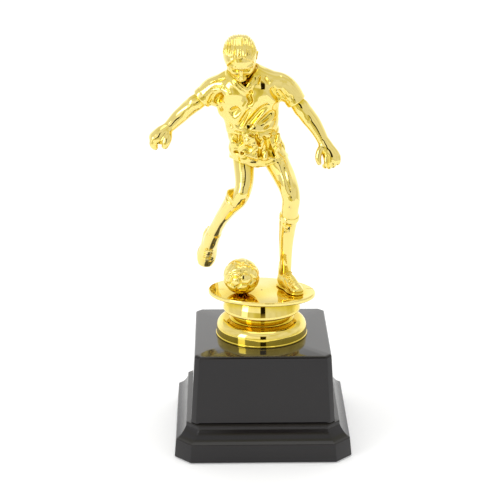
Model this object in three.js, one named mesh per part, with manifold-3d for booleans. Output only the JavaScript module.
// A figure trophy: a gold football player with a ball on an oval plate, a turned gold riser, and a black
// two-tier weighted base. One M6 rod runs up the middle and clamps the whole stack together.
// Millimetres, +Z up. The origin is the centre of the underside; the player faces -Y.
import * as THREE from "three";
import { mergeVertices } from "three/addons/utils/BufferGeometryUtils.js";
import Module from "manifold-3d";

const wasm = await Module();
wasm.setup();

// ---- Driving dimensions -------------------------------------------------------------------------

const BASE_HALF = 35; // half the width of the square footprint
const PLINTH_CUT = 6.4; // leg of the plinth's 45 degree corner cut
const SLAB_TOP = 7.8; // height of the plinth's lower slab
const TIER_TOP = 14.0; // height of the plinth's upper tier, where the block sits
const BLOCK_TOP = 41.8; // height of the black base's top face
const BLOCK_HALF_BOTTOM = 28.4;
const BLOCK_HALF_TOP = 26.7;
const BLOCK_CUT = 2.0; // leg of the block's small corner cut
const WALL = 2.0; // wall of the black mouldings
const DECK = 2.4; // thickness of the plinth's deck and of the block's roof
const SEAT_GAP = 0.1; // play between stacked mouldings
const TURN_GAP = 0.2; // play under the plate, which turns on the riser

const FELT_THICKNESS = 1.0;
const PLUG_THICKNESS = 2.0; // hard plate that closes the underside
const PLINTH_FOOT = 0.4; // how far the plastic rim stays clear of the table

const ROD_RADIUS = 3.0; // M6
const ROD_HOLE = 3.4; // clearance hole for M6
const ROD_BOTTOM = 4.6;
const ROD_TOP = 57.2;
const NUT_FLATS = 10; // M6 nut across flats
const NUT_HEIGHT = 5;
const THIN_NUT_HEIGHT = 3;
const WASHER_RADIUS = 9;
const WASHER_THICKNESS = 1.6;
const SPRING_WASHER_RADIUS = 5.5;
const SPRING_WASHER_THICKNESS = 1.3;
const THREAD_GAP = 0.2; // radial play between the plain rod and a plain nut bore

const RISER_WALL = 1.6;
const DOME_TOP = 48.5;
const NECK_TOP = 51.9;
const CUP_TOP = 57.9;
const PLATE_THICKNESS = 1.7;
const PLATE_HALF_LENGTH = 21.5;
const PLATE_HALF_WIDTH = 15.1;
const PLATE_TURN = -10; // degrees that the oval plate stands off the base's front

const BALL_RADIUS = 7.25;
const PEG_RADIUS = 1.2;
const PEG_HOLE = 1.5;
const PEG_LENGTH = 1.5;

const ROUND = 40; // facets round a turned part
const TRUNK_FACETS = 20;
const LIMB_FACETS = 12;
const SPAN_RINGS = 2; // rings from one station of a limb to the next
const DOME_RINGS = 2; // rings in the dome that ends a limb

const plateBottom = CUP_TOP + TURN_GAP;
const plateTop = plateBottom + PLATE_THICKNESS;
const standing = plateTop + SEAT_GAP; // height of the boot's sole and the ball's foot

// ---- Materials ----------------------------------------------------------------------------------

const gold = new THREE.MeshStandardMaterial({ name: "gold", color: 0xe6b422, metalness: 1, roughness: 0.12 });
const black = new THREE.MeshStandardMaterial({ name: "black", color: 0x1b191a, metalness: 0, roughness: 0.22 });
const felt = new THREE.MeshStandardMaterial({ name: "felt", color: 0x101010, metalness: 0, roughness: 1 });
const steel = new THREE.MeshStandardMaterial({ name: "steel", color: 0xb9bcc0, metalness: 1, roughness: 0.35 });
const iron = new THREE.MeshStandardMaterial({ name: "iron", color: 0x4b4a48, metalness: 0.6, roughness: 0.7 });

// ---- Solids -------------------------------------------------------------------------------------

const vec = (x, y, z) => new THREE.Vector3(x, y, z);

// A closed three.js geometry as a solid that can be joined and cut.
function solidOf(geometry) {
  const bare = geometry.clone();
  bare.deleteAttribute("normal");
  bare.deleteAttribute("uv");
  const merged = mergeVertices(bare, 1e-4);
  return new wasm.Manifold(
    new wasm.Mesh({
      numProp: 3,
      vertProperties: merged.attributes.position.array,
      triVerts: new Uint32Array(merged.index.array),
    }),
  );
}

function geometryOf(solid) {
  const made = solid.getMesh();
  const geometry = new THREE.BufferGeometry();
  geometry.setAttribute("position", new THREE.BufferAttribute(made.vertProperties, 3));
  geometry.setIndex(new THREE.BufferAttribute(made.triVerts, 1));
  geometry.computeVertexNormals();
  return geometry;
}

const joined = (solids) => solids.reduce((all, one) => all.add(one));

// A profile of [radius, height] pairs turned about the Z axis. It starts and ends on the axis, or is a loop.
function turned(profile, facets = ROUND) {
  const points = profile.map(([radius, height]) => new THREE.Vector2(radius, height));
  return new THREE.LatheGeometry(points, facets).rotateX(Math.PI / 2);
}

// The same loop carried round a square with cut corners. Each profile entry is [half width, height, corner cut].
function squareTurned(profile) {
  const facets = 8;
  const geometry = new THREE.LatheGeometry(profile.map(([half, height]) => new THREE.Vector2(half, height)), facets);
  const position = geometry.attributes.position;
  for (let i = 0; i < position.count; i++) {
    const [half, height, cut] = profile[i % profile.length];
    const column = Math.floor(i / profile.length) % facets;
    const corner = Math.floor(column / 2) * (Math.PI / 2);
    const angle = corner + (column % 2) * (Math.PI / 2);
    const inner = half - cut;
    const x = Math.sign(Math.cos(corner + Math.PI / 4)) * inner + cut * Math.cos(angle);
    const y = Math.sign(Math.sin(corner + Math.PI / 4)) * inner + cut * Math.sin(angle);
    position.setXYZ(i, x, y, height);
  }
  return geometry;
}

function tube(outer, inner, bottom, top, facets = ROUND) {
  return turned([[outer, bottom], [outer, top], [inner, top], [inner, bottom], [outer, bottom]], facets);
}

function disc(radius, bottom, top, facets = ROUND) {
  return turned([[0, bottom], [radius, bottom], [radius, top], [0, top]], facets);
}

function hexPrism(acrossFlats, bottom, top) {
  return disc(acrossFlats / Math.sqrt(3), bottom, top, 6);
}

// A limb or trunk carried along a smooth curve and closed by a dome at each end. Each station is
// [x, y, z, half width, half depth], with the depth measured as near to the Y axis as the curve allows.
function swept(stations, facets = LIMB_FACETS) {
  const line = new THREE.CatmullRomCurve3(stations.map(([x, y, z]) => vec(x, y, z)));
  const size = new THREE.CatmullRomCurve3(stations.map(([, , , wide, deep = wide]) => vec(wide, deep, 0)));
  const steps = (stations.length - 1) * SPAN_RINGS;
  const rings = [];
  const addRing = (t, beyond, shrink) => {
    const along = line.getTangent(t);
    const half = size.getPoint(t);
    const wideAxis = along.clone().cross(vec(0, 1, 0)).normalize();
    const deepAxis = wideAxis.clone().cross(along);
    const centre = line.getPoint(t).addScaledVector(along, beyond * Math.min(half.x, half.y));
    const wide = wideAxis.multiplyScalar(half.x * shrink);
    const deep = deepAxis.multiplyScalar(half.y * shrink);
    rings.push({ centre, wide, deep });
  };
  for (let i = 0; i < DOME_RINGS; i++) {
    const a = (i / DOME_RINGS) * (Math.PI / 2);
    addRing(0, -Math.cos(a), Math.sin(a));
  }
  for (let i = 0; i <= steps; i++) {
    addRing(i / steps, 0, 1);
  }
  for (let i = DOME_RINGS - 1; i >= 0; i--) {
    const a = (i / DOME_RINGS) * (Math.PI / 2);
    addRing(1, Math.cos(a), Math.sin(a));
  }
  const upright = rings.map((ring, i) => new THREE.Vector2(i === 0 || i === rings.length - 1 ? 0 : 1, i));
  const geometry = new THREE.LatheGeometry(upright, facets);
  const position = geometry.attributes.position;
  for (let i = 0; i < position.count; i++) {
    const ring = rings[i % rings.length];
    const turn = ((Math.floor(i / rings.length) % facets) / facets) * Math.PI * 2;
    const point = ring.centre.clone()
      .addScaledVector(ring.wide, Math.sin(turn))
      .addScaledVector(ring.deep, Math.cos(turn));
    position.setXYZ(i, point.x, point.y, point.z);
  }
  return solidOf(geometry);
}

// An ellipsoid of the three given half sizes. It is turned by the angles in degrees, about Y and then about X.
function ellipsoid(centre, halfX, halfY, halfZ, rollY = 0, bowX = 0) {
  const geometry = new THREE.SphereGeometry(1, 16, 10)
    .rotateX(Math.PI / 2)
    .scale(halfX, halfY, halfZ)
    .rotateY(THREE.MathUtils.degToRad(rollY))
    .rotateX(THREE.MathUtils.degToRad(bowX))
    .translate(...centre);
  return solidOf(geometry);
}

function named(name, geometry, material) {
  const mesh = new THREE.Mesh(geometry, material);
  mesh.name = name;
  return mesh;
}

// ---- Black base ---------------------------------------------------------------------------------

// The felt pad that the trophy stands on, let into the open underside of the plinth.
function feltPad() {
  const half = BASE_HALF - WALL - 0.4;
  return squareTurned([
    [0, 0, 0],
    [half, 0, PLINTH_CUT - 1],
    [half, FELT_THICKNESS, PLINTH_CUT - 1],
    [0, FELT_THICKNESS, 0],
  ]);
}

// The hard plate above the felt, which closes the plinth and keeps the nut out of sight.
function bottomPlug() {
  const half = BASE_HALF - WALL - 0.4;
  const bottom = FELT_THICKNESS + SEAT_GAP;
  return squareTurned([
    [0, bottom, 0],
    [half, bottom, PLINTH_CUT - 1],
    [half, bottom + PLUG_THICKNESS, PLINTH_CUT - 1],
    [0, bottom + PLUG_THICKNESS, 0],
  ]);
}

// The plinth: a slab, a hollow moulding curve above it, and an upper tier. It is open below, with a deck on top.
function basePlinth() {
  const slabHalf = BASE_HALF - 0.7;
  const tierHalf = 30.3;
  const ledge = 0.8;
  const coveBottom = SLAB_TOP + 0.5;
  const coveTop = TIER_TOP - 1.4;
  const coveDepth = slabHalf - ledge - tierHalf;
  const coveSteps = 6;
  const outside = [
    [BASE_HALF, PLINTH_FOOT, PLINTH_CUT],
    [slabHalf, SLAB_TOP, PLINTH_CUT],
    [slabHalf - ledge, coveBottom, PLINTH_CUT - 0.3],
  ];
  for (let i = 1; i <= coveSteps; i++) {
    const a = (i / coveSteps) * (Math.PI / 2);
    const inward = coveDepth * Math.sin(a);
    const upward = (coveTop - coveBottom) * (1 - Math.cos(a));
    outside.push([slabHalf - ledge - inward, coveBottom + upward, PLINTH_CUT - 0.3 - inward * 0.3]);
  }
  outside.push([tierHalf, TIER_TOP, PLINTH_CUT - 1.4], [0, TIER_TOP, 0]);
  const shell = solidOf(squareTurned([[0, PLINTH_FOOT, 0], ...outside]));
  const hollow = solidOf(
    squareTurned([
      [0, -1, 0],
      [BASE_HALF - WALL, -1, PLINTH_CUT - 0.8],
      [BASE_HALF - WALL, SLAB_TOP - WALL, PLINTH_CUT - 0.8],
      [tierHalf - WALL, TIER_TOP - DECK - 0.6, PLINTH_CUT - 2.2],
      [tierHalf - WALL, TIER_TOP - DECK, PLINTH_CUT - 2.2],
      [0, TIER_TOP - DECK, 0],
    ]),
  );
  const rodHole = solidOf(disc(ROD_HOLE, 0, TIER_TOP + 1, 32));
  return geometryOf(shell.subtract(hollow).subtract(rodHole));
}

// The tapered block: a hollow box with a slightly rounded top edge, open below.
function baseBlock() {
  const bottom = TIER_TOP + SEAT_GAP;
  const edge = 0.8;
  const edgeSteps = 3;
  const outside = [[BLOCK_HALF_BOTTOM, bottom, BLOCK_CUT]];
  for (let i = 0; i <= edgeSteps; i++) {
    const a = (i / edgeSteps) * (Math.PI / 2);
    outside.push([BLOCK_HALF_TOP - edge * (1 - Math.cos(a)), BLOCK_TOP - edge * (1 - Math.sin(a)), BLOCK_CUT]);
  }
  outside.push([0, BLOCK_TOP, 0]);
  const shell = solidOf(squareTurned([[0, bottom, 0], ...outside]));
  const hollow = solidOf(
    squareTurned([
      [0, bottom - 1, 0],
      [BLOCK_HALF_BOTTOM - WALL, bottom - 1, BLOCK_CUT / 2],
      [BLOCK_HALF_TOP - WALL, BLOCK_TOP - DECK, BLOCK_CUT / 2],
      [0, BLOCK_TOP - DECK, 0],
    ]),
  );
  const rodHole = solidOf(disc(ROD_HOLE, bottom, BLOCK_TOP + 1, 32));
  return geometryOf(shell.subtract(hollow).subtract(rodHole));
}

// The iron slug inside the block, which gives the plastic trophy its weight.
function ballastWeight() {
  const half = 22;
  const bottom = TIER_TOP + 2 * SEAT_GAP;
  const top = bottom + 12;
  const slug = solidOf(
    squareTurned([
      [0, bottom, 0],
      [half, bottom, 3],
      [half, top, 3],
      [0, top, 0],
    ]),
  );
  return geometryOf(slug.subtract(solidOf(disc(ROD_HOLE + 0.4, bottom - 1, top + 1, 32))));
}

// ---- Rod and fasteners --------------------------------------------------------------------------

function tieRod() {
  const chamfer = 0.6;
  return turned([
    [0, ROD_BOTTOM],
    [ROD_RADIUS - chamfer, ROD_BOTTOM],
    [ROD_RADIUS, ROD_BOTTOM + chamfer],
    [ROD_RADIUS, ROD_TOP - chamfer],
    [ROD_RADIUS - chamfer, ROD_TOP],
    [0, ROD_TOP],
  ], 32);
}

function nut(bottom, height) {
  const bore = solidOf(disc(ROD_RADIUS + THREAD_GAP, bottom - 1, bottom + height + 1, 32));
  return geometryOf(solidOf(hexPrism(NUT_FLATS, bottom, bottom + height)).subtract(bore));
}

// A split ring: the gap is what makes it spring.
function springWasher(top) {
  const bottom = top - SPRING_WASHER_THICKNESS;
  const ring = solidOf(tube(SPRING_WASHER_RADIUS, ROD_RADIUS + THREAD_GAP, bottom, top, 32));
  const slot = new THREE.BoxGeometry(8, 0.8, 4).translate(6, 0, (bottom + top) / 2);
  return geometryOf(ring.subtract(solidOf(slot)));
}

// ---- Gold riser ---------------------------------------------------------------------------------

// The low domed foot of the riser: a thin lip, an upright band, and a shoulder that rolls in to a flat top.
function riserDome() {
  const bottom = BLOCK_TOP + SEAT_GAP;
  const bandRadius = 18.15;
  const bandTop = 44.9;
  const flatRadius = 14.6;
  const steps = 6;
  const rim = [[18.4, bottom], [18.4, bottom + 0.5], [bandRadius, bottom + 0.8]];
  const outer = [];
  const inner = [];
  for (let i = 0; i <= steps; i++) {
    const a = (i / steps) * (Math.PI / 2);
    const across = bandRadius - flatRadius;
    const rise = DOME_TOP - bandTop;
    outer.push([flatRadius + across * Math.cos(a), bandTop + rise * Math.sin(a)]);
    inner.push([flatRadius - RISER_WALL * 0.5 + (across - RISER_WALL * 0.5) * Math.cos(a),
      bandTop + (rise - RISER_WALL) * Math.sin(a)]);
  }
  return turned([
    ...rim,
    ...outer,
    [ROD_HOLE, DOME_TOP],
    [ROD_HOLE, DOME_TOP - RISER_WALL],
    ...inner.reverse(),
    [bandRadius - RISER_WALL, bottom],
    rim[0],
  ]);
}

// The waist between dome and cup: three round beads on a hollow spool.
function riserNeck() {
  const bottom = DOME_TOP + SEAT_GAP;
  const top = NECK_TOP;
  const grooveRadius = 12.9;
  const beadRise = 0.45;
  const beads = 3;
  const steps = 4;
  const outer = [];
  for (let bead = 0; bead < beads; bead++) {
    for (let i = 0; i < steps; i++) {
      const share = (bead + i / steps) / beads;
      const bulge = Math.sin((i / steps) * Math.PI);
      outer.push([grooveRadius + beadRise * bulge, bottom + (top - bottom) * share]);
    }
  }
  outer.push([grooveRadius, top]);
  const innerRadius = grooveRadius - RISER_WALL;
  const web = 1.2;
  return turned([
    ...outer,
    [innerRadius, top],
    [innerRadius, bottom + web],
    [ROD_HOLE, bottom + web],
    [ROD_HOLE, bottom],
    outer[0],
  ]);
}

// The shallow cup that carries the plate: a rolled lower lip and a wall that flares slightly.
function riserCup() {
  const bottom = NECK_TOP + SEAT_GAP;
  const floor = 1.4;
  return turned([
    [ROD_HOLE, bottom],
    [14.2, bottom],
    [14.7, bottom + 0.15],
    [14.95, bottom + 0.5],
    [14.95, bottom + 0.9],
    [14.75, bottom + 1.3],
    [14.95, bottom + 2.4],
    [15.25, CUP_TOP - 1.6],
    [15.5, CUP_TOP - 0.5],
    [15.5, CUP_TOP],
    [13.7, CUP_TOP],
    [13.2, bottom + floor],
    [ROD_HOLE, bottom + floor],
    [ROD_HOLE, bottom],
  ]);
}

// ---- Figure plate and ball ----------------------------------------------------------------------

const ballCentre = vec(-8.1, -3.6, standing + BALL_RADIUS - 0.25);
const footPeg = vec(11.4, 0.6, standing);

// The oval plate, with a boss below that holds the captive nut and two holes for the pegs above it.
function figurePlate() {
  const soften = 0.5;
  const oval = turned([
    [0, plateBottom],
    [1 - soften / 15, plateBottom],
    [1, plateBottom + soften],
    [1, plateTop - soften],
    [1 - soften / 15, plateTop],
    [0, plateTop],
  ], 64)
    .scale(PLATE_HALF_LENGTH, PLATE_HALF_WIDTH, 1)
    .rotateZ(THREE.MathUtils.degToRad(PLATE_TURN));
  const bossBottom = plateBottom - 4;
  const nutRoom = 0.2;
  const boss = solidOf(disc(7.5, bossBottom, plateBottom + 0.5, 32));
  const pocket = solidOf(hexPrism(NUT_FLATS + 2 * nutRoom, bossBottom - 1, bossBottom + THIN_NUT_HEIGHT + 0.4));
  const rodRoom = solidOf(disc(ROD_HOLE, bossBottom - 1, ROD_TOP + 0.4, 32));
  const holeFor = (at) => solidOf(
    disc(PEG_HOLE, plateBottom - 1, plateTop + 1, 24).translate(at.x, at.y, 0),
  );
  return geometryOf(
    solidOf(oval).add(boss).subtract(pocket).subtract(rodRoom)
      .subtract(holeFor(ballCentre)).subtract(holeFor(footPeg)),
  );
}

const peg = (at) => solidOf(
  disc(PEG_RADIUS, standing - PEG_LENGTH, standing + 1, 16).translate(at.x, at.y, 0),
);

// Everything above the height where the sole and the ball's foot stand.
const aboveThePlate = () => solidOf(
  new THREE.BoxGeometry(200, 200, 200).translate(0, 0, standing + 100),
);

function football() {
  const sphere = solidOf(
    new THREE.SphereGeometry(BALL_RADIUS, 28, 18).rotateX(Math.PI / 2).translate(...ballCentre),
  );
  return geometryOf(sphere.intersect(aboveThePlate()).add(peg(ballCentre)));
}

// ---- Player -------------------------------------------------------------------------------------
// Left and right are the player's own. The left leg stands on the plate and the right leg is drawn back.

const HEAD_BOW = 28; // degrees that the head is bowed towards the ball

function playerHead() {
  return joined([
    ellipsoid([-8.2, -6.6, 157.2], 5.7, 7.1, 7.2, 0, HEAD_BOW), // skull
    ellipsoid([-8.2, -5.9, 158.0], 6.1, 7.2, 6.8, 0, HEAD_BOW), // hair
    ellipsoid([-8.2, -10.0, 154.0], 4.5, 4.4, 5.6, 0, HEAD_BOW), // face
    swept([[-8.2, -13.6, 157.2, 0.7], [-8.2, -15.0, 154.2, 1.2]], 8), // nose
    ellipsoid([-14.2, -6.6, 156.2], 0.8, 1.3, 2.1, 0, HEAD_BOW), // right ear
    ellipsoid([-2.2, -6.6, 156.2], 0.8, 1.3, 2.1, 0, HEAD_BOW), // left ear
    swept([[-6.6, -1.8, 145.0, 5.2], [-7.2, -3.2, 149.5, 4.6], [-7.9, -5.2, 153.5, 4.6]]), // neck
  ]);
}

// The jersey down to its blousing hem, and the shorts below it.
function playerTrunk() {
  return joined([
    swept([
      [-1.9, 0.9, 115.5, 9.8, 6.8],
      [-2.2, 0.8, 118.5, 10.6, 7.4],
      [-2.8, 0.3, 122.5, 10.0, 7.2],
      [-3.4, -0.4, 125.6, 9.6, 6.6],
      [-3.8, -0.9, 129.0, 10.6, 7.2],
      [-4.4, -1.5, 133.4, 11.0, 7.3],
      [-4.8, -1.9, 137.5, 11.8, 7.6],
      [-5.2, -2.0, 141.5, 12.2, 7.4],
      [-5.6, -2.2, 144.6, 10.5, 5.8],
    ], TRUNK_FACETS),
    swept([ // shoulders, from one sleeve hem over to the other
      [-24.2, -0.9, 137.2, 3.7],
      [-20.2, -1.2, 140.9, 4.5],
      [-14.0, -1.8, 143.4, 5.1, 6.0],
      [-6.5, -2.2, 144.4, 5.2, 6.6],
      [1.5, -2.4, 144.8, 5.0, 6.2],
      [7.6, -2.6, 143.9, 4.8, 5.2],
      [11.4, -2.8, 141.0, 4.4],
      [13.6, -3.0, 137.8, 3.8],
    ]),
    swept([[-6.6, 1.0, 119.0, 5.0, 6.2], [-7.2, 1.0, 114.0, 5.0, 5.8]]), // right leg of the shorts
    swept([[2.2, 0.6, 119.0, 5.6, 6.4], [5.4, 0.2, 114.2, 5.0, 5.8]]), // left leg of the shorts
  ]);
}

function playerLegs() {
  return joined([
    swept([ // right leg, drawn back
      [-6.8, 1.0, 115.5, 4.6, 5.0],
      [-7.0, 1.0, 110.5, 4.0, 4.6],
      [-7.0, 0.6, 105.5, 3.5, 4.1],
      [-7.7, 0.7, 101.0, 3.5, 3.8],
      [-9.4, 2.2, 97.4, 3.8, 3.7],
      [-12.2, 5.4, 93.2, 3.5, 3.8],
      [-15.8, 9.8, 86.8, 3.1, 3.2],
      [-18.6, 14.0, 80.8, 2.5, 2.6],
    ]),
    swept([ // its boot
      [-19.2, 15.0, 79.4, 2.8, 3.0],
      [-20.4, 17.0, 75.6, 3.1, 3.6],
      [-21.3, 18.0, 71.6, 3.2, 3.2],
      [-22.2, 18.6, 67.8, 3.4, 2.6],
    ]),
    swept([ // left leg, standing
      [4.6, 0.4, 115.5, 4.8, 5.4],
      [6.4, 0.0, 112.0, 4.3, 5.0],
      [9.0, -2.0, 107.0, 3.8, 4.4],
      [11.0, -3.0, 101.5, 3.5, 3.8],
      [11.1, -2.6, 97.0, 3.2, 3.5],
      [10.9, -1.0, 90.8, 3.7, 3.8],
      [10.4, 0.6, 85.0, 3.1, 3.6],
      [9.8, 2.0, 76.0, 2.4, 2.7],
      [9.5, 3.0, 69.0, 2.4, 2.7],
    ]),
  ]);
}

// The standing boot. Its sole is cut flat where it meets the plate.
function standingBoot() {
  const ankle = swept([[9.5, 3.0, 70.0, 2.6, 2.8], [9.4, 3.6, 65.0, 3.0, 3.2], [9.2, 3.8, 62.4, 3.0, 3.2]]);
  const foot = swept([
    [9.0, 4.0, 62.4, 3.0, 3.0],
    [11.2, 0.4, 62.6, 3.0, 3.4],
    [13.4, -3.0, 61.6, 3.4, 2.6],
    [14.4, -4.6, 61.3, 3.0, 2.0],
  ]);
  return ankle.add(foot).intersect(aboveThePlate()).add(peg(footPeg));
}

function playerArms() {
  return joined([
    swept([ // right forearm
      [-22.6, -1.0, 138.2, 3.2],
      [-26.4, -0.5, 135.2, 3.2],
      [-30.7, 0.0, 131.7, 2.7],
      [-33.6, -0.8, 129.2, 2.4],
      [-36.8, -2.2, 126.6, 2.0],
    ]),
    ellipsoid([-39.8, -3.4, 123.6], 3.5, 2.9, 3.7, 40), // right fist
    swept([[-37.0, -4.6, 125.0, 1.3], [-37.2, -5.4, 121.0, 1.1]], 8), // right thumb
    swept([[-41.8, -4.4, 122.0, 1.3], [-41.4, -5.0, 119.6, 1.0]], 8), // right fingers
    swept([ // left forearm
      [12.6, -2.8, 138.2, 3.1],
      [15.3, -3.0, 134.6, 2.9],
      [18.4, -3.6, 130.8, 3.0],
      [21.2, -4.8, 126.6, 2.8],
      [23.2, -5.8, 122.8, 2.2],
      [24.2, -6.2, 120.8, 2.3],
    ]),
    ellipsoid([26.2, -6.9, 117.4], 3.6, 2.4, 5.0, -14), // left hand
    swept([[23.0, -7.4, 119.2, 1.2], [21.6, -8.6, 114.6, 1.0]], 8), // left thumb
  ]);
}

function playerFigure() {
  return geometryOf(
    joined([playerHead(), playerTrunk(), playerLegs(), standingBoot(), playerArms()]),
  );
}

// ---- Assembly -----------------------------------------------------------------------------------

const deckUnderside = TIER_TOP - DECK - SEAT_GAP;
const washerBottom = deckUnderside - WASHER_THICKNESS;
const springTop = washerBottom - SEAT_GAP;
const nutTop = springTop - SPRING_WASHER_THICKNESS - SEAT_GAP;
const captiveNutBottom = plateBottom - 4 + 0.2;

const trophy = new THREE.Group();
trophy.add(
  named("felt_pad", feltPad(), felt),
  named("bottom_plug", bottomPlug(), black),
  named("base_plinth", basePlinth(), black),
  named("base_block", baseBlock(), black),
  named("ballast_weight", ballastWeight(), iron),
  named("tie_rod", tieRod(), steel),
  named("deck_washer", tube(WASHER_RADIUS, ROD_HOLE, washerBottom, deckUnderside, 32), steel),
  named("spring_washer", springWasher(springTop), steel),
  named("clamp_nut", nut(nutTop - NUT_HEIGHT, NUT_HEIGHT), steel),
  named("riser_dome", riserDome(), gold),
  named("riser_neck", riserNeck(), gold),
  named("riser_cup", riserCup(), gold),
  named("captive_nut", nut(captiveNutBottom, THIN_NUT_HEIGHT), steel),
  named("figure_plate", figurePlate(), gold),
  named("football", football(), gold),
  named("player_figure", playerFigure(), gold),
);

export default trophy;
